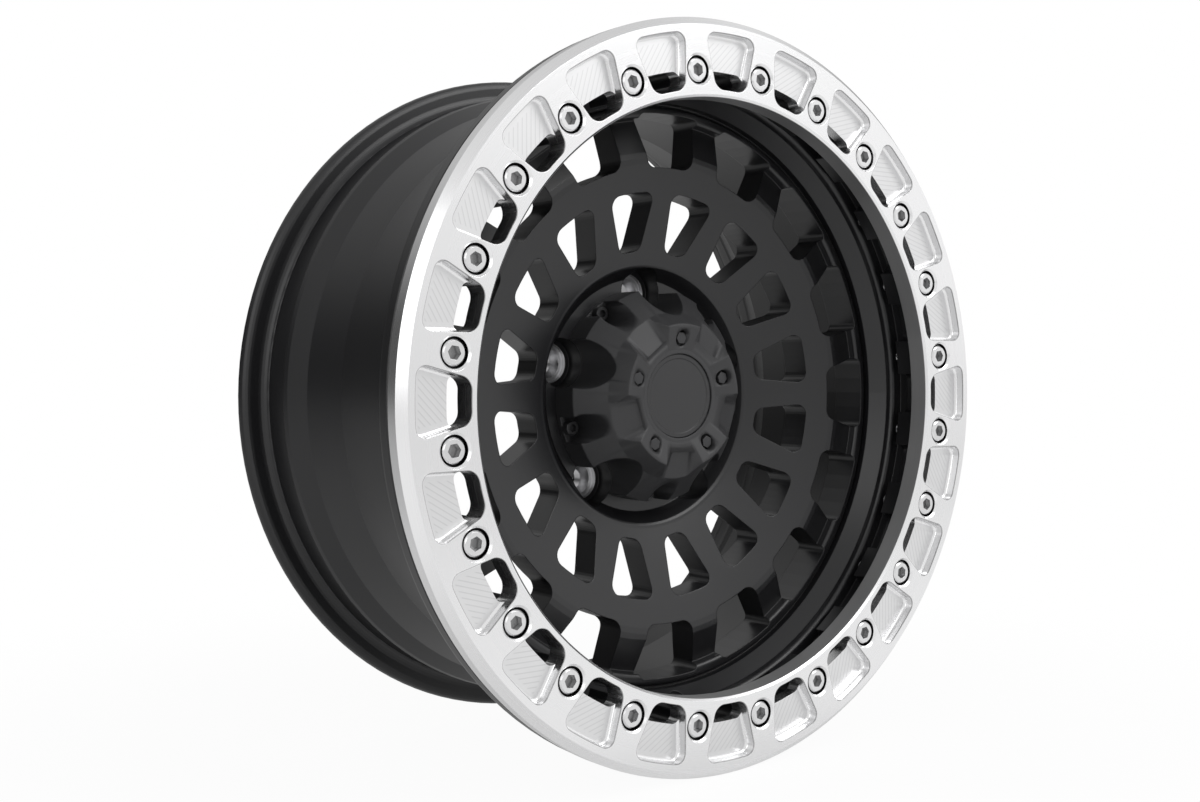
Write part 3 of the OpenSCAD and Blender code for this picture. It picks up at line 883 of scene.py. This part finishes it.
def face_bolt(index, material):
    """Hexagon head of one bolt in the cap's face"""
    sz = sizes()
    node = f"cap_face_bolt_{index}"
    low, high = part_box(node)
    front, back = low[1], high[1]
    deselect()
    bpy.ops.mesh.primitive_cylinder_add(vertices=6, radius=sz.face_hexagon / math.sqrt(3),
                                        depth=5 * MM, rotation=(math.pi / 2, 0, 0),
                                        location=(sz.face_bolt_circle, front + 2.5 * MM, 0))
    piece = bpy.context.object
    piece.name = f"face_bolt_{index}"
    bpy.ops.object.transform_apply(location=True, rotation=True, scale=True)
    round_edges(piece, lambda p: all(abs(q.y - front) < 1e-6 for q in p), 0.6 * MM, 2)
    deselect()
    bpy.ops.mesh.primitive_cylinder_add(vertices=24, radius=2 * MM, depth=back - front - 5 * MM,
                                        rotation=(math.pi / 2, 0, 0),
                                        location=(sz.face_bolt_circle, (back + front + 5 * MM) / 2, 0))
    shank = bpy.context.object
    bpy.ops.object.transform_apply(location=True, rotation=True, scale=True)
    piece.select_set(True)
    bpy.context.view_layer.objects.active = piece
    shank.select_set(True)
    bpy.ops.object.join()
    turn_round_axle(piece, math.pi / 2 + (index - 1) * 2 * math.pi / 5)
    flat_faces_stay_flat(piece)
    dress(piece, material)
    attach(piece, BODY)
    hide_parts(node)


class WHEEL_OT_cap(bpy.types.Operator):
    """Gives the centre cap its flared notches and bolts, and finishes cap and badge disc"""

    bl_idname = "wheel.cap"
    bl_label = "Make the centre cap"

    def execute(self, context):
        activate(NODES["centre_cap"])
        bpy.ops.object.duplicate()
        shell = bpy.context.object
        shell.name = "cap_shell"
        del shell["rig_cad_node"]
        bpy.ops.object.mode_set(mode="EDIT")
        bpy.ops.mesh.select_all(action="SELECT")
        bpy.ops.mesh.remove_doubles(threshold=1e-6)
        bpy.ops.object.mode_set(mode="OBJECT")
        cut_away(shell, skin_cutter())
        between_lugs = math.pi / 2 + math.pi / 5
        cut_away(shell, copies_round_axle(notch_cutter(), 5, between_lugs))
        cut_away(shell, copies_round_axle(recess_cutter(), 5, math.pi / 2))
        flat_faces_stay_flat(shell, 20)
        dress(shell, cap_finish())
        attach(shell, BODY)
        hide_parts("centre_cap")
        dress(NODES["cap_badge"], badge_finish())
        steel = screw_finish()
        for index in range(1, 6):
            face_bolt(index, steel)
        return {"FINISHED"}


class WHEEL_OT_stage(bpy.types.Operator):
    """Adds the camera, the pale floor, the white surroundings and the soft lights"""

    bl_idname = "wheel.stage"
    bl_label = "Set the stage"

    def execute(self, context):
        scene = context.scene
        scene.view_settings.view_transform = "Standard"
        add_camera(scene)
        add_floor()
        add_world(scene)
        add_lamps()
        return {"FINISHED"}


# Stage


def add_camera(scene):
    """Camera at the photograph's viewing angle"""
    bpy.ops.object.camera_add(location=(-0.6622, -0.8473, 0.0200),
                              rotation=(math.radians(90.103), 0, math.radians(-37.529)))
    camera = bpy.context.object
    camera.data.sensor_width = 36
    camera.data.lens = 43.0
    camera.data.shift_y = -0.03
    scene.camera = camera


def add_floor():
    """Pale floor under the wheel, which keeps a soft shadow"""
    deselect()
    bpy.ops.mesh.primitive_plane_add(size=12, location=(0, 0, FLOOR_Z - 0.0003))
    floor = bpy.context.object
    floor.name = "floor"
    material = bpy.data.materials.new("pale_floor")
    material.use_nodes = True
    tree = material.node_tree
    shader = tree.nodes["Principled BSDF"]
    shader.inputs["Base Color"].default_value = (0.86, 0.86, 0.86, 1)
    shader.inputs["Roughness"].default_value = 0.9
    shader.inputs["Specular IOR Level"].default_value = 0.0
    glow = tree.nodes.new("ShaderNodeEmission")
    glow.inputs["Color"].default_value = (1, 1, 1, 1)
    mix = tree.nodes.new("ShaderNodeMixShader")
    coords = tree.nodes.new("ShaderNodeTexCoord")
    distance = tree.nodes.new("ShaderNodeVectorMath")
    distance.operation = "LENGTH"
    tree.links.new(coords.outputs["Object"], distance.inputs[0])
    white = ramp_node(tree, distance.outputs["Value"], 0.25, 0.8, 0.96, 1.0)
    path = tree.nodes.new("ShaderNodeLightPath")
    seen = math_node(tree, "MULTIPLY", path.outputs["Is Camera Ray"], white)
    # painted glow: in reflections the floor glows brightly before the wheel and fades away behind it
    split = tree.nodes.new("ShaderNodeSeparateXYZ")
    tree.links.new(coords.outputs["Object"], split.inputs[0])
    near = ramp_node(tree, split.outputs["Y"], 0.55, 0.2, 0.08, 0.5)
    ahead = math_node(tree, "MULTIPLY",
                      ramp_node(tree, split.outputs["Y"], -0.12, -0.3, 0.0, 0.5),
                      ramp_node(tree, split.outputs["Y"], -1.6, -0.9, 0.0, 1.0))
    floor_glow = math_node(tree, "ADD", near, ahead)
    shiny = math_node(tree, "MULTIPLY", path.outputs["Is Glossy Ray"], floor_glow)
    tree.links.new(math_node(tree, "MAXIMUM", seen, shiny), mix.inputs["Fac"])
    tree.links.new(shader.outputs[0], mix.inputs[1])
    tree.links.new(glow.outputs[0], mix.inputs[2])
    tree.links.new(mix.outputs[0], tree.nodes["Material Output"].inputs["Surface"])
    floor.data.materials.append(material)


def add_world(scene):
    """White surroundings in front of the wheel, darker behind it, as a studio reflects"""
    world = bpy.data.worlds.new("studio")
    scene.world = world
    world.use_nodes = True
    tree = world.node_tree
    background = tree.nodes["Background"]
    background.inputs["Color"].default_value = (1, 1, 1, 1)
    coords = tree.nodes.new("ShaderNodeTexCoord")
    split = tree.nodes.new("ShaderNodeSeparateXYZ")
    tree.links.new(coords.outputs["Generated"], split.inputs[0])
    front = ramp_node(tree, split.outputs["Y"], 0.5, -0.45, 0.09, 1.0)
    above = ramp_node(tree, split.outputs["Z"], 0.1, 0.7, 0.0, 0.8)
    front = math_node(tree, "MAXIMUM", front, above)
    side = ramp_node(tree, split.outputs["X"], 0.4, 0.8, 0.88, 1.12)
    front = math_node(tree, "MULTIPLY", front, side)
    path = tree.nodes.new("ShaderNodeLightPath")
    matte = math_node(tree, "MULTIPLY", front, 0.5)
    seen = math_node(tree, "MAXIMUM", path.outputs["Is Camera Ray"], path.outputs["Is Transmission Ray"])
    shiny = path.outputs["Is Glossy Ray"]
    part = math_node(tree, "MULTIPLY", shiny, math_node(tree, "SUBTRACT", front, matte))
    level = math_node(tree, "ADD", matte, part)
    rest = math_node(tree, "MULTIPLY", math_node(tree, "SUBTRACT", 1.0, level), seen)
    tree.links.new(math_node(tree, "ADD", level, rest), background.inputs["Strength"])


def add_lamps():
    """A large soft key above the street side and a weak fill"""
    for name, place, size, power in (("key", (0.9, -1.6, 1.7), 1.6, 26),
                                     ("fill", (-1.9, -0.9, 0.8), 1.4, 7)):
        bpy.ops.object.light_add(type="AREA", location=place)
        lamp = bpy.context.object
        lamp.name = name
        lamp.data.size = size
        lamp.data.energy = power
        aim(lamp, (0, 0, 0))


def aim(lamp, target):
    """Turns a lamp towards a point"""
    way = Vector(target) - lamp.location
    lamp.rotation_euler = way.to_track_quat("-Z", "Y").to_euler()


class WHEEL_PT_panel(bpy.types.Panel):
    """Lists the operators that build the wheel's looks"""

    bl_idname = "WHEEL_PT_panel"
    bl_label = "Beadlock wheel"
    bl_space_type = "VIEW_3D"
    bl_region_type = "UI"
    bl_category = "Wheel"

    def draw(self, context):
        for operator in OPERATORS:
            self.layout.operator(operator.bl_idname)


OPERATORS = (WHEEL_OT_stage, WHEEL_OT_casting, WHEEL_OT_ring, WHEEL_OT_fasteners, WHEEL_OT_cap)
CLASSES = (WheelSizes, WheelColours, *OPERATORS, WHEEL_PT_panel)


def register():
    for item in CLASSES:
        bpy.utils.register_class(item)
    bpy.types.Scene.wheel_sizes = bpy.props.PointerProperty(type=WheelSizes)
    bpy.types.Scene.wheel_colours = bpy.props.PointerProperty(type=WheelColours)


def unregister():
    del bpy.types.Scene.wheel_colours
    del bpy.types.Scene.wheel_sizes
    for item in reversed(CLASSES):
        bpy.utils.unregister_class(item)


def main():
    register()
    make_groups()
    bpy.ops.wheel.stage()
    bpy.ops.wheel.casting()
    bpy.ops.wheel.ring()
    bpy.ops.wheel.fasteners()
    bpy.ops.wheel.cap()


if __name__ == "__main__":
    main()
